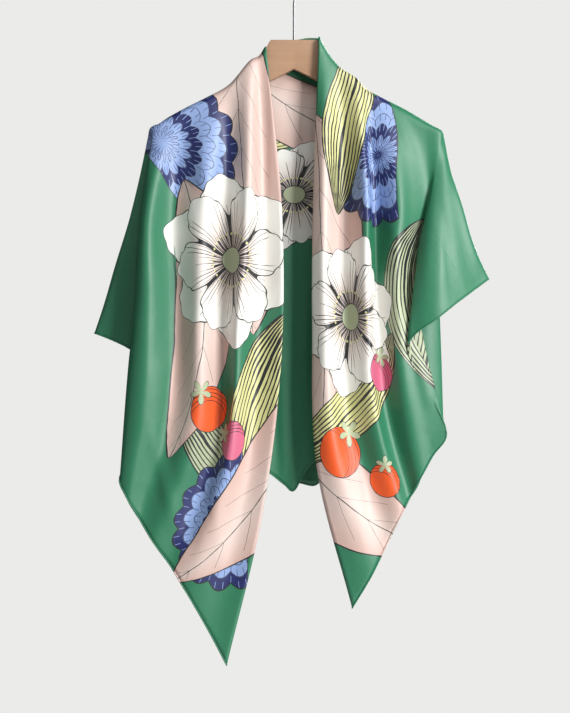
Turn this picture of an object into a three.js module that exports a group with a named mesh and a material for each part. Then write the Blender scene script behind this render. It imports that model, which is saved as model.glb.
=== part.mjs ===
// A large printed silk square, folded corner to corner and hung like a shawl over a flat wooden hanger.
// Millimetres, +Z up, +X to the viewer's right, the front towards -Y.
// The origin is the highest point inside the hook, where a rail carries it.
import * as THREE from 'three';

// Driving dimensions of the hanger.
const hangerHalfSpan = 198;
const woodThickness = 12;
const woodBevel = 5;
const blockHalfWidth = 35;
const blockTopZ = -112;
const blockCorner = 5;
const notchZ = -153;
const notchHalfWidth = 8;
const tipDepth = 20;
const tipRound = 6;
const armStep = 9;
const rodRadius = 1.6;
const hookRadius = 21;
const hookStartAngle = -55;
const hookEndAngle = 200;
const shankBendZ = -56;
const bendPull = 10;
const rodSides = 8;

// Driving dimensions of the cloth. Two layers lie on each other at the fronts and sides.
const doubledWall = 1.6;
const singleWall = 1.0;
const layerGap = 0.4;
const seamGap = 0.3;
const ridgeRise = 2.2;
const shoulderReach = 11.5;
const shoulderDrop = 10;
const shoulderSpread = 1.06;
const shoulderLean = 0.1;
const collarSpread = 0.96;
const collarBehindY = 13;
const collarSlope = 0.131;
const leftPole = { x: -192, reach: 10 };
const rightPole = { x: 198, reach: 12 };
const poleRing = 3.5;
const sharpestMitre = 1.5;
const rowsPerSegment = [3, 4, 4, 3, 3];

// Top edge of the hanger's arm: distance from the middle and height.
const armKnots = [
  { x: 35, z: -114 },
  { x: 45, z: -130 },
  { x: 60, z: -146 },
  { x: 86, z: -171 },
  { x: 104, z: -182 },
  { x: 125, z: -193 },
  { x: 155, z: -208 },
  { x: 180, z: -222 },
  { x: 192, z: -231 },
];

// Every fold line runs from the top to the hem. The rows of a table go round the neck opening in order.
// top: x on the hanger, lift: extra height of a pleat there, x1 y1 to x3 y3: quarter, half and three
// quarters of the way down, hemX hemY hemZ: the cut edge.
const frontColumns = ['fold', 'top', 'lift', 'x1', 'y1', 'x2', 'y2', 'x3', 'y3', 'hemX', 'hemY', 'hemZ'];
const leftFront = table(frontColumns, [
  ['crease', -41, 3.5, -18, -22, -18, -26, -44, -28, -94.5, -28, -992],
  ['valley', -50, 2, -39, -13, -48, -20, -66, -25, -118, -27, -948],
  ['ridge', -61, 8, -54, -40, -72, -40, -90, -34, -150, -30, -891],
  ['valley', -92, 1, -82, -22, -87, -24, -101, -26, -174, -26, -853],
  ['ridge', -122, 0, -116, -36, -121, -36, -132, -34, -197, -30, -820],
  ['valley', -152, 0, -156, -20, -159, -22, -172, -24, -218, -26, -786],
  ['ridge', -177, 0, -196, -34, -200, -36, -208, -37, -234, -35, -757],
]);
const rightFront = table(frontColumns, [
  ['turned edge', 186, 0, 190, -12, 168, -14, 186, -30, 214, -32, -667],
  ['ridge', 160, 0, 167, -32, 160, -35, 172, -36, 195, -33, -697],
  ['ridge', 128, 0, 147, -34, 148, -36, 155, -36, 176, -33, -731],
  ['valley', 102, 1, 118, -18, 124, -22, 132, -26, 163, -27, -757],
  ['ridge', 89, 8, 105, -42, 107, -38, 116, -36, 151, -32, -779],
  ['valley', 66, 2, 75, -22, 75, -26, 82, -28, 134, -28, -815],
  ['ridge', 50, 5, 46, -36, 48, -38, 58, -36, 109, -32, -865],
  ['crease', 36, 5, 27.5, -22, 25.4, -26, 31.7, -28, 81.5, -28, -912],
]);

// The sides hang from the hanger's tips. angle: direction in plan in which the line leaves the tip.
const sideColumns = ['fold', 'angle', 'x1', 'y1', 'x2', 'y2', 'x3', 'y3', 'hemX', 'hemY', 'hemZ'];
const leftSide = table(sideColumns, [
  ['front edge', 242, -217, -24, -225, -26, -235.5, -28, -244.4, -28, -726.5],
  ['hidden valley', 214, -178, -8, -150, -6, -128, -5, -112, -4, -648],
  ['flare front', 192, -205, 0, -213, 0, -222, 0, -231, 0, -549],
  ['flare edge', 172, -219, 8, -239, 12, -261, 14, -283.4, 14, -525],
  ['back valley', 135, -204, 20, -206, 26, -206, 30, -206, 32, -583],
]);
const rightSide = table(sideColumns, [
  ['back valley', 45, 208, 18, 208, 22, 206, 26, 205, 28, -520],
  ['flare edge', 6, 222, 2, 235.5, 0, 250, -2, 276.4, -4, -448],
  ['flare middle', -22, 208, -10, 204, -20, 201, -28, 199, -35, -507],
  ['hinge', -48, 196, -20, 181, -30, 167, -38, 160, -46, -541],
]);

// The back hangs from the hanger and, at the neck, from the crease behind the block. collar: 1 where the
// line starts at that crease. hemX hemY hemZ: the outer layer's cut edge, inX inY inZ: the inner layer's.
const backColumns = ['fold', 'top', 'lift', 'collar', 'hemX', 'hemY', 'hemZ', 'inX', 'inY', 'inZ'];
const back = table(backColumns, [
  ['ridge', -177, 0, 0, -198, 46, -602, -186, 26, -594],
  ['valley', -152, 0, 0, -152, 24, -640, -150, 16, -630],
  ['ridge', -122, 0, 0, -112, 46, -672, -112, 19, -662],
  ['valley', -92, 1, 0, -76, 26, -700, -78, 14, -690],
  ['ridge', -61, 8, 0, -49, 42, -717, -52, 18, -711],
  ['valley', -50, 2, 0, -35, 32, -726, -36, 15, -724],
  ['ridge', -41, 3.5, 0, -22, 36, -732, -22, 17, -735],
  ['collar', -36, 0, 1, -8, 32, -737, -12, 15, -743],
  ['collar', -15, 0, 1, 10, 38, -741, -1.4, 16, -751],
  ['collar', 5, 0, 1, 31, 36, -744, 12, 17, -729],
  ['collar', 21, 0, 1, 46, 32, -726, 24, 15, -712],
  ['collar', 36, 0, 1, 57, 36, -712, 40, 17, -700],
  ['ridge', 36, 5, 0, 66, 31, -701, 54, 15, -691],
  ['ridge', 50, 5, 0, 76, 37, -689, 68, 18, -680],
  ['valley', 66, 2, 0, 90, 28, -673, 84, 14, -666],
  ['ridge', 89, 8, 0, 105, 44, -652, 103, 18, -648],
  ['valley', 102, 1, 0, 119, 26, -634, 120, 14, -630],
  ['ridge', 128, 0, 0, 139, 46, -608, 140, 18, -606],
  ['valley', 160, 0, 0, 166, 26, -575, 164, 15, -578],
  ['ridge', 186, 0, 0, 194, 42, -546, 186, 24, -552],
]);

// The inner layer's edge, which hangs behind the turned right front edge.
const innerSide = table(sideColumns, [
  ['front', -60, 176, -8, 160, -8, 153, -11, 150, -14, -640],
  ['front fold', -38, 190, -6, 190, -8, 193, -10, 195, -12, -672],
  ['outer edge', -8, 203, 1, 207, 1, 211, 1, 214, 0, -680],
  ['back fold', 22, 192, 8, 190, 9, 190, 10, 190, 10, -650],
  ['back', 48, 176, 10, 160, 11, 153, 12, 150, 14, -610],
]);

function table(columns, rows) {
  return rows.map((row) => Object.fromEntries(columns.map((name, i) => [name, row[i]])));
}

function vec(x, y, z) {
  return new THREE.Vector3(x, y, z);
}

function hermite(start, end, startTangent, endTangent, span, t) {
  const t2 = t * t;
  const t3 = t2 * t;
  const point = start.clone().multiplyScalar(2 * t3 - 3 * t2 + 1);
  point.addScaledVector(startTangent, (t3 - 2 * t2 + t) * span);
  point.addScaledVector(end, 3 * t2 - 2 * t3);
  point.addScaledVector(endTangent, (t3 - t2) * span);
  return point;
}

// Height of the wood's top edge at a distance from the middle.
function woodTop(x) {
  const distance = Math.abs(x);
  const first = armKnots[0];
  if (distance <= first.x) return blockTopZ;
  const last = armKnots.length - 1;
  let i = 0;
  while (i < last - 1 && armKnots[i + 1].x < distance) i += 1;
  const slope = (a, b) => (armKnots[b].z - armKnots[a].z) / (armKnots[b].x - armKnots[a].x);
  const slopeAt = (k) => slope(Math.max(k - 1, 0), Math.min(k + 1, last));
  const step = armKnots[i + 1].x - armKnots[i].x;
  const t = (distance - armKnots[i].x) / step;
  const start = vec(0, 0, armKnots[i].z);
  const end = vec(0, 0, armKnots[i + 1].z);
  return hermite(start, end, vec(0, 0, slopeAt(i)), vec(0, 0, slopeAt(i + 1)), step, t).z;
}

// One fold line: points and downward directions at every row, from the top to the hem.
function foldLine(knots, topDirection) {
  const last = knots.length - 1;
  const chord = (i) => knots[i + 1].clone().sub(knots[i]).normalize();
  const tangents = knots.map((knot, i) => {
    if (i === 0) return topDirection.clone().normalize();
    if (i === 1) return chord(1);
    if (i === last) return chord(last - 1);
    return chord(i - 1).add(chord(i)).normalize();
  });
  const line = [{ at: knots[0].clone(), down: tangents[0] }];
  rowsPerSegment.forEach((rows, segment) => {
    const start = knots[segment];
    const end = knots[segment + 1];
    const span = start.distanceTo(end);
    const place = (t) => hermite(start, end, tangents[segment], tangents[segment + 1], span, t);
    const probe = 0.01;
    for (let row = 1; row <= rows; row += 1) {
      const t = row / rows;
      const down = place(t).sub(place(t - probe)).normalize();
      line.push({ at: place(t), down });
    }
  });
  return line;
}

// Points at a quarter, a half and three quarters of the way down, at the x and y of a table's row.
function stations(row, shoulder, hem) {
  return [1, 2, 3].map((k) => {
    const z = THREE.MathUtils.lerp(shoulder.z, hem.z, k / 4);
    return vec(row[`x${k}`], row[`y${k}`], z);
  });
}

function ridgePoint(row, side) {
  return vec(row.top, side * seamGap / 2, woodTop(row.top) + ridgeRise + row.lift);
}

function frontLine(row) {
  const top = ridgePoint(row, -1);
  const shoulderX = THREE.MathUtils.lerp(row.top, row.x1, shoulderLean);
  const shoulder = vec(shoulderX, -(shoulderReach + row.lift), top.z - shoulderDrop);
  const hem = vec(row.hemX, row.hemY, row.hemZ);
  return foldLine([top, shoulder, ...stations(row, shoulder, hem), hem], vec(0, -1, 0));
}

function sideLine(row, pole, reach = pole.reach, sink = 0) {
  const angle = THREE.MathUtils.degToRad(row.angle);
  const outward = vec(Math.cos(angle), Math.sin(angle), 0);
  const poleZ = woodTop(pole.x) + ridgeRise - sink;
  const top = vec(pole.x, 0, poleZ).addScaledVector(outward, poleRing);
  const shoulder = vec(pole.x, 0, poleZ - shoulderDrop).addScaledVector(outward, reach);
  const hem = vec(row.hemX, row.hemY, row.hemZ);
  return foldLine([top, shoulder, ...stations(row, shoulder, hem), hem], outward);
}

function backLine(row, layer) {
  const isOuter = layer === 'outer';
  const hem = isOuter ? vec(row.hemX, row.hemY, row.hemZ) : vec(row.inX, row.inY, row.inZ);
  let top = ridgePoint(row, 1);
  let shoulder = vec(shoulderSpread * row.top, shoulderReach + 1 + row.lift / 2, top.z - shoulderDrop);
  let direction = vec(0, 1, 0);
  if (row.collar) {
    const nearCorner = 2 * Math.abs(row.top) / blockHalfWidth;
    const topX = row.top + Math.sign(row.top) * nearCorner;
    top = vec(topX, collarBehindY - nearCorner, blockTopZ + collarSlope * row.top);
    shoulder = vec(collarSpread * row.top, collarBehindY + 1, top.z - shoulderDrop);
    direction = vec(0, 0, -1);
  }
  const startY = isOuter ? collarBehindY + 1 : collarBehindY;
  const middle = [1, 2, 3].map((k) => {
    const t = k / 4;
    const place = shoulder.clone().lerp(hem, t);
    place.y = THREE.MathUtils.lerp(startY, hem.y, t);
    return place;
  });
  return foldLine([top, shoulder, ...middle, hem], direction);
}

// Centripetal curve from p1 to p2, which makes no loop where lines stand close on one side and far apart on
// the other.
function between(p0, p1, p2, p3, t) {
  const step = (a, b) => Math.max(Math.sqrt(a.distanceTo(b)), 1e-3);
  const [first, middle, last] = [step(p0, p1), step(p1, p2), step(p2, p3)];
  const rate = (a, b, span) => b.clone().sub(a).divideScalar(span);
  const inner = rate(p1, p2, middle);
  const before = rate(p0, p1, first).sub(rate(p0, p2, first + middle)).add(inner);
  const after = rate(p2, p3, last).sub(rate(p1, p3, middle + last)).add(inner);
  return hermite(p1, p2, before, after, middle, t);
}

// Smooth surface through fold lines, with a number of steps from each line to the next. The lines from
// backFrom to backTo belong to the back and stay behind the ridge.
function surfaceThrough(lines, steps, backFrom = 0, backTo = 0) {
  const rowCount = lines[0].length;
  const columns = [];
  const beyond = (near, far) => near.clone().multiplyScalar(2).sub(far);
  const pick = (i, r) => {
    if (i < 0) return beyond(lines[0][r].at, lines[1][r].at);
    const last = lines.length - 1;
    if (i > last) return beyond(lines[last][r].at, lines[last - 1][r].at);
    return lines[i][r].at;
  };
  for (let i = 0; i < lines.length - 1; i += 1) {
    const lastGap = i === lines.length - 2;
    for (let s = 0; s < steps[i] + (lastGap ? 1 : 0); s += 1) {
      const column = [];
      for (let r = 0; r < rowCount; r += 1) {
        const t = s / steps[i];
        const at = between(pick(i - 1, r), pick(i, r), pick(i + 1, r), pick(i + 2, r), t);
        if (i >= backFrom && i < backTo) at.y = Math.max(at.y, seamGap / 2);
        const down = lines[i][r].down.clone().lerp(lines[i + 1][r].down, t).normalize();
        column.push({ at, down });
      }
      columns.push(column);
    }
  }
  const last = columns.length - 1;
  const across = (from, to, down) => {
    const chord = to.clone().sub(from);
    return chord.addScaledVector(down, -chord.dot(down)).normalize();
  };
  columns.forEach((column, c) => column.forEach((cell, r) => {
    const arriving = c > 0 ? across(columns[c - 1][r].at, cell.at, cell.down) : null;
    const leaving = c < last ? across(cell.at, columns[c + 1][r].at, cell.down) : null;
    const along = (arriving ?? leaving).clone().add(leaving ?? arriving).normalize();
    const halfTurn = Math.max(along.dot(leaving ?? arriving), 1 / sharpestMitre);
    cell.out = along.cross(cell.down).normalize().divideScalar(halfTurn);
  }));
  return columns;
}

// A panel's columns, with its two side edges drawn in by half a seam gap.
function panelColumns(columns, first, last, drawIn = [true, true]) {
  const panel = columns.slice(first, last + 1).map((column) => column.map((cell) => ({ ...cell })));
  const draw = (edge, next) => edge.forEach((cell, r) => {
    const inward = next[r].at.clone().sub(cell.at).normalize();
    cell.at = cell.at.clone().addScaledVector(inward, seamGap / 2);
  });
  if (drawIn[0]) draw(panel[0], panel[1]);
  if (drawIn[1]) draw(panel[panel.length - 1], panel[panel.length - 2]);
  return panel;
}

// Closed wall between two offsets of a panel.
function wallGeometry(panel, outerOffset, innerOffset) {
  const columnCount = panel.length;
  const rowCount = panel[0].length;
  const positions = [];
  [outerOffset, innerOffset].forEach((offset) => {
    panel.forEach((column) => column.forEach((cell) => {
      positions.push(...cell.at.clone().addScaledVector(cell.out, offset).toArray());
    }));
  });
  const inner = columnCount * rowCount;
  const at = (c, r) => c * rowCount + r;
  const indices = [];
  const quad = (a, b, c, d) => indices.push(a, b, c, a, c, d);
  for (let c = 0; c < columnCount - 1; c += 1) {
    for (let r = 0; r < rowCount - 1; r += 1) {
      quad(at(c, r), at(c + 1, r), at(c + 1, r + 1), at(c, r + 1));
      quad(inner + at(c, r), inner + at(c, r + 1), inner + at(c + 1, r + 1), inner + at(c + 1, r));
    }
    const low = rowCount - 1;
    quad(at(c + 1, 0), at(c, 0), inner + at(c, 0), inner + at(c + 1, 0));
    quad(at(c, low), at(c + 1, low), inner + at(c + 1, low), inner + at(c, low));
  }
  const end = columnCount - 1;
  for (let r = 0; r < rowCount - 1; r += 1) {
    quad(at(0, r + 1), inner + at(0, r + 1), inner + at(0, r), at(0, r));
    quad(at(end, r + 1), at(end, r), inner + at(end, r), inner + at(end, r + 1));
  }
  const geometry = new THREE.BufferGeometry();
  geometry.setAttribute('position', new THREE.Float32BufferAttribute(positions, 3));
  geometry.setIndex(indices);
  geometry.computeVertexNormals();
  return geometry;
}

// Quarter of a circle as points in the hanger's plane, from one angle in degrees to the next quarter.
function quarterRound(centreX, centreZ, radius, startAngle) {
  return [0, 45, 90].map((turn) => {
    const angle = THREE.MathUtils.degToRad(startAngle - turn);
    return [centreX + radius * Math.cos(angle), centreZ + radius * Math.sin(angle)];
  });
}

function hangerGeometry() {
  const armStart = armKnots[0].x + armStep / 3;
  const armEnd = hangerHalfSpan - tipRound;
  const tipTopZ = woodTop(armEnd);
  const right = [[blockHalfWidth - blockCorner, blockTopZ], [blockHalfWidth - 1, blockTopZ - 2]];
  for (let x = armStart; x < armEnd - armStep / 2; x += armStep) right.push([x, woodTop(x)]);
  right.push(...quarterRound(armEnd, tipTopZ - tipRound, tipRound, 90));
  right.push(...quarterRound(armEnd, tipTopZ - tipDepth + tipRound, tipRound, 0));
  right.push([notchHalfWidth, notchZ - notchHalfWidth / 2]);
  const left = right.slice().reverse().map(([x, z]) => [-x, z]);
  const shape = new THREE.Shape([...right, [0, notchZ], ...left].map(([x, z]) => new THREE.Vector2(x, z)));
  const depth = woodThickness - 2 * woodBevel;
  const geometry = new THREE.ExtrudeGeometry(shape, {
    depth,
    bevelEnabled: true,
    bevelThickness: woodBevel,
    bevelSize: woodBevel,
    bevelOffset: -woodBevel,
    bevelSegments: 3,
  });
  geometry.translate(0, 0, -depth / 2);
  geometry.rotateX(Math.PI / 2);
  return geometry;
}

function hookGeometry() {
  const centreZ = rodRadius - hookRadius;
  const onHook = (degrees) => {
    const angle = THREE.MathUtils.degToRad(degrees);
    return vec(hookRadius * Math.cos(angle), 0, centreZ + hookRadius * Math.sin(angle));
  };
  const start = THREE.MathUtils.degToRad(hookStartAngle);
  const along = vec(-Math.sin(start), 0, Math.cos(start));
  const entry = onHook(hookStartAngle);
  const bend = new THREE.CubicBezierCurve3(
    vec(0, 0, shankBendZ),
    vec(0, 0, shankBendZ + bendPull),
    entry.clone().addScaledVector(along, -bendPull),
    entry,
  );
  const shankSteps = 3;
  const bendSteps = 4;
  const arcSteps = 12;
  const points = [];
  for (let i = 0; i < shankSteps; i += 1) {
    points.push(vec(0, 0, THREE.MathUtils.lerp(blockTopZ + seamGap, shankBendZ, i / shankSteps)));
  }
  for (let i = 0; i < bendSteps; i += 1) points.push(bend.getPoint(i / bendSteps));
  for (let i = 0; i <= arcSteps; i += 1) {
    points.push(onHook(THREE.MathUtils.lerp(hookStartAngle, hookEndAngle, i / arcSteps)));
  }
  const corners = Array.from({ length: rodSides }, (_, i) => {
    const angle = 2 * Math.PI * i / rodSides;
    return new THREE.Vector2(rodRadius * Math.cos(angle), rodRadius * Math.sin(angle));
  });
  const extrudePath = new THREE.CatmullRomCurve3(points, false, 'centripetal');
  return new THREE.ExtrudeGeometry(new THREE.Shape(corners), { steps: 44, extrudePath, bevelEnabled: false });
}

const clothLook = { color: 0x4d9a76, roughness: 0.42, metalness: 0, side: THREE.DoubleSide };
const innerLook = { color: 0x3f7f5f, roughness: 0.5, metalness: 0, side: THREE.DoubleSide };
const woodLook = { color: 0xc49a72, roughness: 0.55, metalness: 0 };
const steelLook = { color: 0x8f9398, roughness: 0.3, metalness: 1 };

const scarf = new THREE.Group();
function addPiece(name, geometry, look) {
  const mesh = new THREE.Mesh(geometry, new THREE.MeshStandardMaterial(look));
  mesh.name = name;
  scarf.add(mesh);
}

// The outer layer is one strip round the neck opening: left crease to right crease.
const frontSteps = 3;
const backSteps = 2;
const outerLines = [
  ...leftFront.map(frontLine),
  ...leftSide.map((row) => sideLine(row, leftPole)),
  ...back.map((row) => backLine(row, 'outer')),
  ...rightSide.map((row) => sideLine(row, rightPole)),
  ...rightFront.map(frontLine),
];
const leftCount = leftFront.length + leftSide.length;
const backEnd = leftCount + back.length;
const outerSteps = outerLines.slice(1).map((line, i) => {
  const onBack = i >= leftCount && i < backEnd - 1;
  return onBack ? backSteps : frontSteps;
});
const outerSurface = surfaceThrough(outerLines, outerSteps, leftCount, backEnd - 1);
const columnOf = (line) => outerSteps.slice(0, line).reduce((sum, n) => sum + n, 0);

// Seams between the stretches lie just past the fold that ends each of them.
const leftFrontEnd = columnOf(leftFront.length) + 2;
const leftSideEnd = columnOf(leftCount - 1) + 1;
const backOuterEnd = columnOf(backEnd) - 1;
const rightSideEnd = columnOf(backEnd + rightSide.length - 1) - 1;
const stripEnd = outerSurface.length - 1;

const half = doubledWall / 2;
const frontLeft = panelColumns(outerSurface, 0, leftFrontEnd, [false, true]);
const sideLeft = panelColumns(outerSurface, leftFrontEnd, leftSideEnd);
const backOuter = panelColumns(outerSurface, leftSideEnd, backOuterEnd);
const sideRight = panelColumns(outerSurface, backOuterEnd, rightSideEnd);
const frontRight = panelColumns(outerSurface, rightSideEnd, stripEnd, [true, false]);
addPiece('front_left', wallGeometry(frontLeft, half, -half), clothLook);
addPiece('side_left', wallGeometry(sideLeft, half, -half), clothLook);
addPiece('back_outer', wallGeometry(backOuter, singleWall, 0), clothLook);
addPiece('side_right', wallGeometry(sideRight, half, -half), clothLook);
addPiece('front_right', wallGeometry(frontRight, half, -half), clothLook);

// The inner layer shows at the back of the neck opening and behind the right front's edge.
const innerLines = back.map((row) => backLine(row, 'inner'));
const innerSteps = innerLines.slice(1).map(() => backSteps);
const innerSurface = surfaceThrough(innerLines, innerSteps, 0, back.length);
const backInner = panelColumns(innerSurface, 0, innerSurface.length - 1);
addPiece('back_inner', wallGeometry(backInner, -layerGap, -layerGap - singleWall), innerLook);

const innerReach = rightPole.reach - doubledWall - 1;
const innerSink = doubledWall + layerGap;
const innerSideLines = innerSide.map((row) => sideLine(row, rightPole, innerReach, innerSink));
const innerSideSurface = surfaceThrough(innerSideLines, innerSideLines.slice(1).map(() => frontSteps));
addPiece('inner_side_right', wallGeometry(innerSideSurface, singleWall / 2, -singleWall / 2), innerLook);

addPiece('hanger_body', hangerGeometry(), woodLook);
addPiece('hanger_hook', hookGeometry(), steelLook);

export default scarf;
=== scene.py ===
import math

import bpy
import numpy as np
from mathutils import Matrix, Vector


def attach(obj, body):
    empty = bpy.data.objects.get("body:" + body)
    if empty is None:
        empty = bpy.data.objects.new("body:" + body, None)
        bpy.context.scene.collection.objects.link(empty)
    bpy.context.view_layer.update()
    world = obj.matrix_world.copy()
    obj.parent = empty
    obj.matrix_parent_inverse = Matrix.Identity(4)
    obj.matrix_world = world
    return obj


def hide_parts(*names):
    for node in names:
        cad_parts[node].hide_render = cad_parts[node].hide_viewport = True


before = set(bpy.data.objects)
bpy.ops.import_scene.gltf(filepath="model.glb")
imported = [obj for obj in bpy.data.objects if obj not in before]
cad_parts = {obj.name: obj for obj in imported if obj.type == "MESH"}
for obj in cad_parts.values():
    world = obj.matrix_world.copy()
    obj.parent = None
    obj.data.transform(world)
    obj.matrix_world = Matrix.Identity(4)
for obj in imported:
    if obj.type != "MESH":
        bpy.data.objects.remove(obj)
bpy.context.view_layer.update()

# The photograph shows 0.804 by 1.005 m at the cloth, seen level from the front
view = {
    "centre": (-.0127, -.02, -.5585),
    "tall": 1.005,
    "lens": 85,
    "longSide": 36,
}
distance = view["tall"] * view["lens"] / view["longSide"]
camera = bpy.data.objects.new("camera", bpy.data.cameras.new("camera"))
camera.data.lens = view["lens"]
camera.data.sensor_width = view["longSide"]
camera.location = (view["centre"][0], view["centre"][1] - distance, view["centre"][2])
camera.rotation_euler = (math.pi / 2, 0, 0)
bpy.context.collection.objects.link(camera)
bpy.context.scene.camera = camera
print("camera", round(distance, 3), "m from the cloth")

# Silk square, folded corner to corner: two layers, the fold along the neck and down both front edges
scarf = {
    "squareSide": 1.3,
    "silk": 0.0005,  # wall of each layer
    "layerStep": 0.0014,  # how far the inner layer lies under the folds' own lines
    "outerRise": 0.0003,  # and the outer one over them
    "innerTuck": (0.0006, 0.0012),  # how far the inner layer sinks and draws in at the hanger's tips
    "ridgeRise": 0.0022,
    "shoulderReach": 0.0115,
    "shoulderDrop": 0.010,
    "shoulderSpread": 1.06,
    "shoulderLean": 0.1,
    "collarBehind": 0.013,
    "collarTop": (-.1068, .179, -.99),  # its height along x: a constant, a slope and a crown
    "collarRound": .0026,  # and how far it drops at its ends, in a corner of this radius
    "collarCorner": .002,
    "backStep": .001,  # the outer layer's back hangs this far behind the inner one
    "collarSpread": 0.96,
    "blockHalf": 0.035,
    "blockTop": -0.112,
    "leftTip": (-0.192, 0.014),  # x of the hanger's tip and how far the cloth reaches round it
    "rightTip": (0.198, 0.0148),
    "rows": (5, 20, 22, 21, 22),  # mesh rows: shoulder, then each quarter of the fall
}

# Distance from the hanger's middle and height of the arm's top edge
armTop = np.array([
    (.035, -.114), (.045, -.130), (.060, -.146), (.086, -.171), (.104, -.182),
    (.125, -.193), (.155, -.208), (.180, -.222), (.192, -.231),
])

# A row is a fold line from the hanger to the hem; x y at a quarter, half and three quarters of its fall.
# steps: mesh columns up to the next line
frontColumns = "fold top lift x1 y1 x2 y2 x3 y3 hemX hemY hemZ steps".split()
leftFront = [
    ("crease", -.041, .0035, -.018, -.022, -.018, -.026, -.044, -.028, -.0945, -.028, -.992, 6),
    ("valley", -.050, .002, -.044, -.010, -.050, -.013, -.068, -.020, -.118, -.026, -.948, 6),
    ("ridge", -.061, .008, -.064, -.046, -.079, -.047, -.094, -.042, -.150, -.031, -.891, 6),
    ("valley", -.092, .001, -.095, -.013, -.099, -.014, -.110, -.019, -.174, -.024, -.853, 6),
    ("ridge", -.122, 0, -.127, -.042, -.132, -.044, -.140, -.041, -.197, -.031, -.820, 6),
    ("valley", -.152, 0, -.170, -.011, -.163, -.013, -.174, -.020, -.218, -.026, -.786, 6),
    ("ridge", -.177, 0, -.204, -.040, -.206, -.043, -.212, -.043, -.234, -.036, -.757, 4),
]
rightFront = [
    ("turned edge", .186, 0, .188, -.010, .166, -.011, .185, -.028, .214, -.032, -.667, 6),
    ("slope", .160, 0, .166, -.024, .159, -.023, .171, -.033, .195, -.033, -.697, 6),
    ("ridge", .128, 0, .144, -.036, .143, -.038, .152, -.038, .176, -.034, -.731, 6),
    ("valley", .102, .001, .114, -.009, .118, -.011, .129, -.018, .163, -.024, -.757, 6),
    ("ridge", .089, .008, .101, -.047, .102, -.047, .112, -.042, .151, -.033, -.779, 6),
    ("valley", .066, .002, .072, -.014, .072, -.015, .080, -.020, .134, -.026, -.815, 6),
    ("ridge", .050, .005, .042, -.042, .044, -.045, .055, -.042, .109, -.033, -.865, 6),
    ("crease", .036, .009, .0275, -.022, .0254, -.026, .0317, -.028, .0815, -.028, -.912, 0),
]

# Side lines leave the hanger's tip in a direction seen from above, in degrees
sideColumns = "fold angle x1 y1 x2 y2 x3 y3 hemX hemY hemZ steps".split()
leftSide = [
    ("front edge", 242, -.217, -.024, -.225, -.026, -.2355, -.028, -.2444, -.028, -.7265, 10),
    ("hidden valley", 214, -.178, -.008, -.150, -.006, -.128, -.005, -.112, -.004, -.648, 10),
    ("flare front", 192, -.205, .003, -.213, .005, -.222, .006, -.231, .005, -.549, 6),
    ("flare edge", 172, -.2215, .008, -.240, .013, -.261, .016, -.2850, .016, -.525, 8),
    ("back valley", 135, -.204, .020, -.206, .027, -.206, .031, -.206, .034, -.560, 4),
]
innerLeftSide = [
    *leftSide[:2],
    ("flare front", 192, -.203, .006, -.210, .009, -.217, .010, -.225, .010, -.544, 6),
    ("flare edge", 172, -.214, .009, -.232, .014, -.252, .016, -.272, .017, -.529, 8),
    ("back valley", 140, -.196, .012, -.192, .016, -.190, .019, -.190, .021, -.558, 4),
]
rightSide = [
    ("back valley", 45, .208, .018, .208, .022, .206, .026, .205, .028, -.498, 8),
    ("flare edge", 6, .222, -.006, .2355, -.013, .250, -.014, .2768, -.004, -.448, 4),
    ("flare outer", -8, .218, -.012, .230, -.019, .243, -.0205, .266, -.011, -.4555, 8),
    ("flare middle", -22, .209, -.018, .205, -.034, .202, -.046, .201, -.050, -.504, 6),
    ("hinge", -48, .196, -.016, .181, -.026, .167, -.034, .160, -.040, -.541, 8),
]
innerRightSide = [
    ("back", 48, .176, .010, .160, .011, .153, .012, .150, .014, -.610, 8),
    ("back fold", 22, .192, .008, .190, .009, .190, .010, .190, .010, -.650, 6),
    ("outer edge", -8, .203, .001, .207, .001, .211, .001, .214, 0, -.680, 6),
    ("front fold", -38, .190, -.006, .190, -.008, .193, -.010, .195, -.012, -.672, 8),
    ("front", -60, .176, -.008, .160, -.008, .153, -.011, .150, -.014, -.640, 8),
]

# The back: hem of the outer layer and of the inner one; collar lines start at the fold behind the block
backColumns = "fold top lift collar hemX hemY hemZ inX inY inZ steps".split()
backLines = [
    ("ridge", -.177, 0, 0, -.198, .046, -.602, -.186, .026, -.594, 6),
    ("valley", -.152, 0, 0, -.152, .024, -.640, -.150, .016, -.630, 6),
    ("ridge", -.122, 0, 0, -.112, .046, -.672, -.112, .019, -.662, 6),
    ("valley", -.092, .001, 0, -.076, .026, -.700, -.078, .014, -.690, 6),
    ("ridge", -.061, .008, 0, -.049, .042, -.717, -.052, .018, -.711, 6),
    ("valley", -.050, .002, 0, -.035, .032, -.726, -.036, .015, -.724, 6),
    ("ridge", -.041, .0035, 0, -.022, .036, -.732, -.022, .017, -.735, 4),
    ("collar", -.036, 0, 1, -.008, .032, -.737, -.012, .015, -.743, 5),
    ("collar", -.015, 0, 1, .010, .038, -.741, -.0014, .016, -.751, 5),
    ("collar", .005, 0, 1, .031, .036, -.744, .012, .017, -.729, 5),
    ("collar", .021, 0, 1, .046, .032, -.726, .024, .015, -.712, 5),
    ("collar", .036, 0, 1, .057, .036, -.712, .040, .017, -.700, 4),
    ("ridge", .036, .009, 0, .066, .031, -.701, .054, .015, -.691, 6),
    ("ridge", .050, .005, 0, .076, .037, -.689, .068, .018, -.680, 6),
    ("valley", .066, .002, 0, .090, .028, -.673, .084, .014, -.666, 6),
    ("ridge", .089, .008, 0, .105, .044, -.652, .103, .018, -.648, 6),
    ("valley", .102, .001, 0, .119, .026, -.634, .120, .014, -.630, 6),
    ("ridge", .128, 0, 0, .139, .046, -.608, .140, .018, -.606, 6),
    ("valley", .160, 0, 0, .166, .026, -.575, .164, .015, -.578, 6),
    ("ridge", .186, 0, 0, .194, .042, -.546, .186, .024, -.552, 8),
]


leastLength, leastArea = 1e-9, 1e-12


def table(columns, rows):
    return [dict(zip(columns, row)) for row in rows]


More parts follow.
